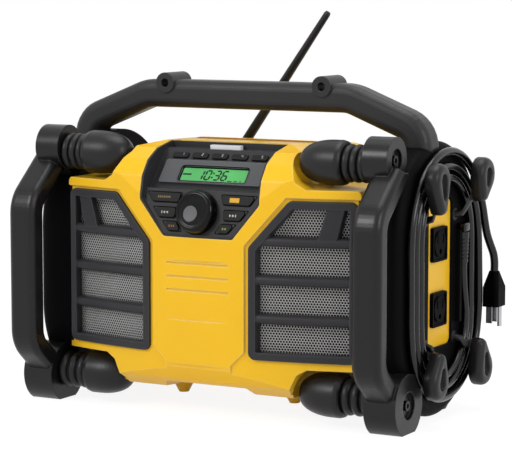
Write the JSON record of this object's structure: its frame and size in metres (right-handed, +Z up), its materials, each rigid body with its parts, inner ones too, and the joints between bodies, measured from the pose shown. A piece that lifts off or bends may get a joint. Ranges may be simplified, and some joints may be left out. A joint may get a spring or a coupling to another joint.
{
  "type": "jobsite radio",
  "caption": "Rugged jobsite radio with bowed speaker front, tuning dial and display, carrying handle, corner guards, round end caps, outlet panel and side cord wrap.",
  "frame": {"origin": "on the floor, under the middle of the bounding box of everything except the free cord and its plug", "axes": "+X to the right of someone who faces the controls, +Y to the back, +Z up"},
  "size_m": [0.452, 0.253, 0.3899],
  "materials": {
    "bezel_grey": "satin",
    "black_rubber": "soft matte",
    "black_shell": "fine-grained moulded shell",
    "bolt_black": "blackened",
    "circuit_green": "satin",
    "contact_plastic": "matte",
    "display_green": "lit display",
    "iron_core": "lacquered",
    "key_black": "satin",
    "key_white": "satin",
    "knob_black": "gloss",
    "magnet": "matte",
    "mesh_grey": "perforated sheet",
    "panel_grey": "satin",
    "speaker_paper": "matte",
    "speaker_steel": "satin",
    "steel": "brushed",
    "yellow_shell": "satin moulded shell"
  },
  "bodies": {
    "radio": {"front_housing": "yellow_shell", "rear_housing": "yellow_shell", "housing_seal": "black_rubber", "left_end_cap": "black_shell", "right_end_cap": "black_shell", "handle": "black_rubber", "left_guard": "black_shell", "right_guard": "black_shell", "guard_bolts": "bolt_black", "upper_left_bumper": "black_rubber", "upper_right_bumper": "black_rubber", "lower_left_bumper": "black_rubber", "lower_right_bumper": "black_rubber", "rear_feet": "black_rubber", "left_grille_frame": "black_shell", "right_grille_frame": "black_shell", "left_speaker_mesh": "mesh_grey", "right_speaker_mesh": "mesh_grey", "left_speaker_basket": "speaker_steel", "right_speaker_basket": "speaker_steel", "left_speaker_cone": "speaker_paper", "right_speaker_cone": "speaker_paper", "left_speaker_magnet": "magnet", "right_speaker_magnet": "magnet", "control_panel": "panel_grey", "display_bezel": "bezel_grey", "display": "display_green", "circuit_boards": "circuit_green", "encoder": "steel", "transformer": "iron_core", "mains_board": "circuit_green", "outlet_panel": "yellow_shell", "upper_outlet": "black_shell", "lower_outlet": "black_shell", "cord_cleats": "black_shell", "power_cord": "black_rubber", "strain_relief": "black_rubber", "plug_body": "black_rubber", "plug_prongs": "steel", "battery_terminals": "contact_plastic", "hinge_pins": "steel"},
    "dial": {"tuning_knob": "knob_black"},
    "antenna_foot": {"antenna_base": "black_shell", "antenna_pin": "steel"},
    "antenna_mast": {"antenna": "black_rubber"},
    "bay_door": {"battery_door": "black_shell"},
    "bay_latch": {"battery_door_latch": "key_black"},
    "side_cover": {"storage_cover": "black_shell"},
    "left_key_1_cap": {"left_key_1": "key_black"},
    "left_key_2_cap": {"left_key_2": "key_black"},
    "left_key_3_cap": {"left_key_3": "key_black"},
    "right_key_1_cap": {"right_key_1": "key_black"},
    "right_key_2_cap": {"right_key_2": "key_black"},
    "right_key_3_cap": {"right_key_3": "key_black"},
    "preset_key_1_cap": {"preset_key_1": "key_black"},
    "preset_key_2_cap": {"preset_key_2": "key_black"},
    "preset_key_3_cap": {"preset_key_3": "key_black"},
    "preset_key_4_cap": {"preset_key_4": "key_black"},
    "preset_key_5_cap": {"preset_key_5": "key_black"},
    "light_key_cap": {"light_key": "key_white"}
  },
  "joints": [
    {"name": "dial_turn", "type": "hinge", "parent": "radio", "child": "dial", "pos_m": [-0.002, -0.08886, 0.19984], "axis": [0, -0.9732, 0.23], "continuous": true},
    {"name": "left_key_1_press", "type": "slide", "parent": "radio", "child": "left_key_1_cap", "axis": [0, 0.9732, -0.23], "range_m": [0, 0.0012], "stiffness_N_per_m": 600, "springref_m": -0.0006},
    {"name": "left_key_2_press", "type": "slide", "parent": "radio", "child": "left_key_2_cap", "axis": [0, 0.9732, -0.23], "range_m": [0, 0.0012], "stiffness_N_per_m": 600, "springref_m": -0.0006},
    {"name": "left_key_3_press", "type": "slide", "parent": "radio", "child": "left_key_3_cap", "axis": [0, 0.9732, -0.23], "range_m": [0, 0.0012], "stiffness_N_per_m": 600, "springref_m": -0.0006},
    {"name": "right_key_1_press", "type": "slide", "parent": "radio", "child": "right_key_1_cap", "axis": [0, 0.9732, -0.23], "range_m": [0, 0.0012], "stiffness_N_per_m": 600, "springref_m": -0.0006},
    {"name": "right_key_2_press", "type": "slide", "parent": "radio", "child": "right_key_2_cap", "axis": [0, 0.9732, -0.23], "range_m": [0, 0.0012], "stiffness_N_per_m": 600, "springref_m": -0.0006},
    {"name": "right_key_3_press", "type": "slide", "parent": "radio", "child": "right_key_3_cap", "axis": [0, 0.9732, -0.23], "range_m": [0, 0.0012], "stiffness_N_per_m": 600, "springref_m": -0.0006},
    {"name": "preset_key_1_press", "type": "slide", "parent": "radio", "child": "preset_key_1_cap", "axis": [0, 0.766, -0.6428], "range_m": [0, 0.0012], "stiffness_N_per_m": 600, "springref_m": -0.0006},
    {"name": "preset_key_2_press", "type": "slide", "parent": "radio", "child": "preset_key_2_cap", "axis": [0, 0.766, -0.6428], "range_m": [0, 0.0012], "stiffness_N_per_m": 600, "springref_m": -0.0006},
    {"name": "preset_key_3_press", "type": "slide", "parent": "radio", "child": "preset_key_3_cap", "axis": [0, 0.766, -0.6428], "range_m": [0, 0.0012], "stiffness_N_per_m": 600, "springref_m": -0.0006},
    {"name": "preset_key_4_press", "type": "slide", "parent": "radio", "child": "preset_key_4_cap", "axis": [0, 0.766, -0.6428], "range_m": [0, 0.0012], "stiffness_N_per_m": 600, "springref_m": -0.0006},
    {"name": "preset_key_5_press", "type": "slide", "parent": "radio", "child": "preset_key_5_cap", "axis": [0, 0.766, -0.6428], "range_m": [0, 0.0012], "stiffness_N_per_m": 600, "springref_m": -0.0006},
    {"name": "light_key_press", "type": "slide", "parent": "radio", "child": "light_key_cap", "axis": [0, 0, -1], "range_m": [0, 0.0012], "stiffness_N_per_m": 600, "springref_m": -0.0006},
    {"name": "antenna_swivel", "type": "hinge", "parent": "radio", "child": "antenna_foot", "pos_m": [-0.058, 0.091, 0.232], "axis": [0, 0, 1], "range_deg": [0, 180]},
    {"name": "antenna_tilt", "type": "hinge", "parent": "antenna_foot", "child": "antenna_mast", "pos_m": [-0.058, 0.091, 0.244], "axis": [0, 1, 0], "range_deg": [-35.5, 48]},
    {"name": "bay_door_hinge", "type": "hinge", "parent": "radio", "child": "bay_door", "pos_m": [0, 0.113, 0.048], "axis": [-1, 0, 0], "range_deg": [0, 100]},
    {"name": "bay_latch_slide", "type": "slide", "parent": "bay_door", "child": "bay_latch", "axis": [0, 0, -1], "range_m": [0, 0.004], "stiffness_N_per_m": 300, "springref_m": -0.002},
    {"name": "side_cover_hinge", "type": "hinge", "parent": "radio", "child": "side_cover", "pos_m": [-0.205, 0.073, 0.135], "axis": [0, 0, -1], "range_deg": [0, 110]}
  ]
}
